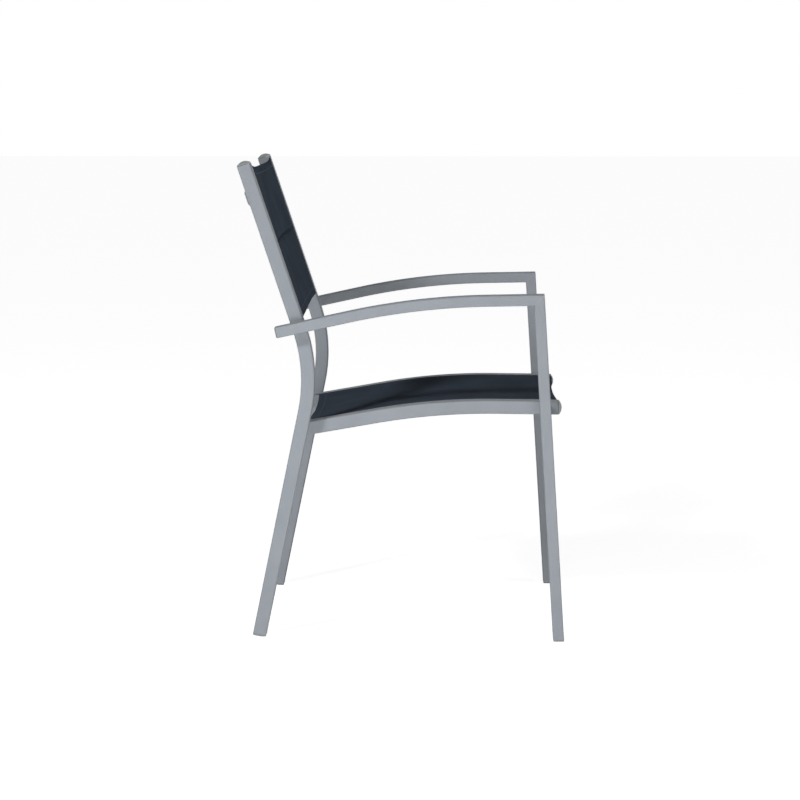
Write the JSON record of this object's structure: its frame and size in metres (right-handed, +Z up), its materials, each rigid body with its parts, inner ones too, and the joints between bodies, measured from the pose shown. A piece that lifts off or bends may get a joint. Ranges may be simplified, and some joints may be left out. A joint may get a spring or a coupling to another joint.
{
  "type": "sling patio chair",
  "caption": "Stackable garden armchair: welded aluminium tube frame with a taut dark sling for the seat and another for the back, held in grooves along its rails.",
  "frame": {"origin": "on the floor, under the middle of the chair's box", "axes": "+Z up, the sitter faces -Y, +X to the sitter's left"},
  "size_m": [0.56, 0.5984, 0.8727],
  "materials": {
    "frame_metal": "silver-grey powder coat, satin, on extruded aluminium tube",
    "sling_fabric": "dark slate mesh of coated polyester yarn, matt",
    "spline_plastic": "black extruded rod",
    "cap_plastic": "moulded grey plastic, matt"
  },
  "bodies": {
    "root": {"upright_left": "frame_metal", "upright_right": "frame_metal", "seat_rail_left": "frame_metal", "seat_rail_right": "frame_metal", "arm_left": "frame_metal", "arm_right": "frame_metal", "front_leg_left": "frame_metal", "front_leg_right": "frame_metal", "front_spacer_left": "frame_metal", "front_spacer_right": "frame_metal", "front_crossbar": "frame_metal", "rear_crossbar": "frame_metal", "back_crossbar": "frame_metal", "seat_spline_left": "spline_plastic", "seat_spline_right": "spline_plastic", "back_spline_left": "spline_plastic", "back_spline_right": "spline_plastic", "upright_cap_left": "cap_plastic", "upright_cap_right": "cap_plastic", "rail_front_cap_left": "cap_plastic", "rail_front_cap_right": "cap_plastic", "rail_rear_cap_left": "cap_plastic", "rail_rear_cap_right": "cap_plastic", "arm_cap_left": "cap_plastic", "arm_cap_right": "cap_plastic", "front_foot_left": "cap_plastic", "front_foot_right": "cap_plastic", "rear_foot_left": "cap_plastic", "rear_foot_right": "cap_plastic", "seat_sling": "sling_fabric", "back_sling": "sling_fabric"}
  },
  "joints": []
}
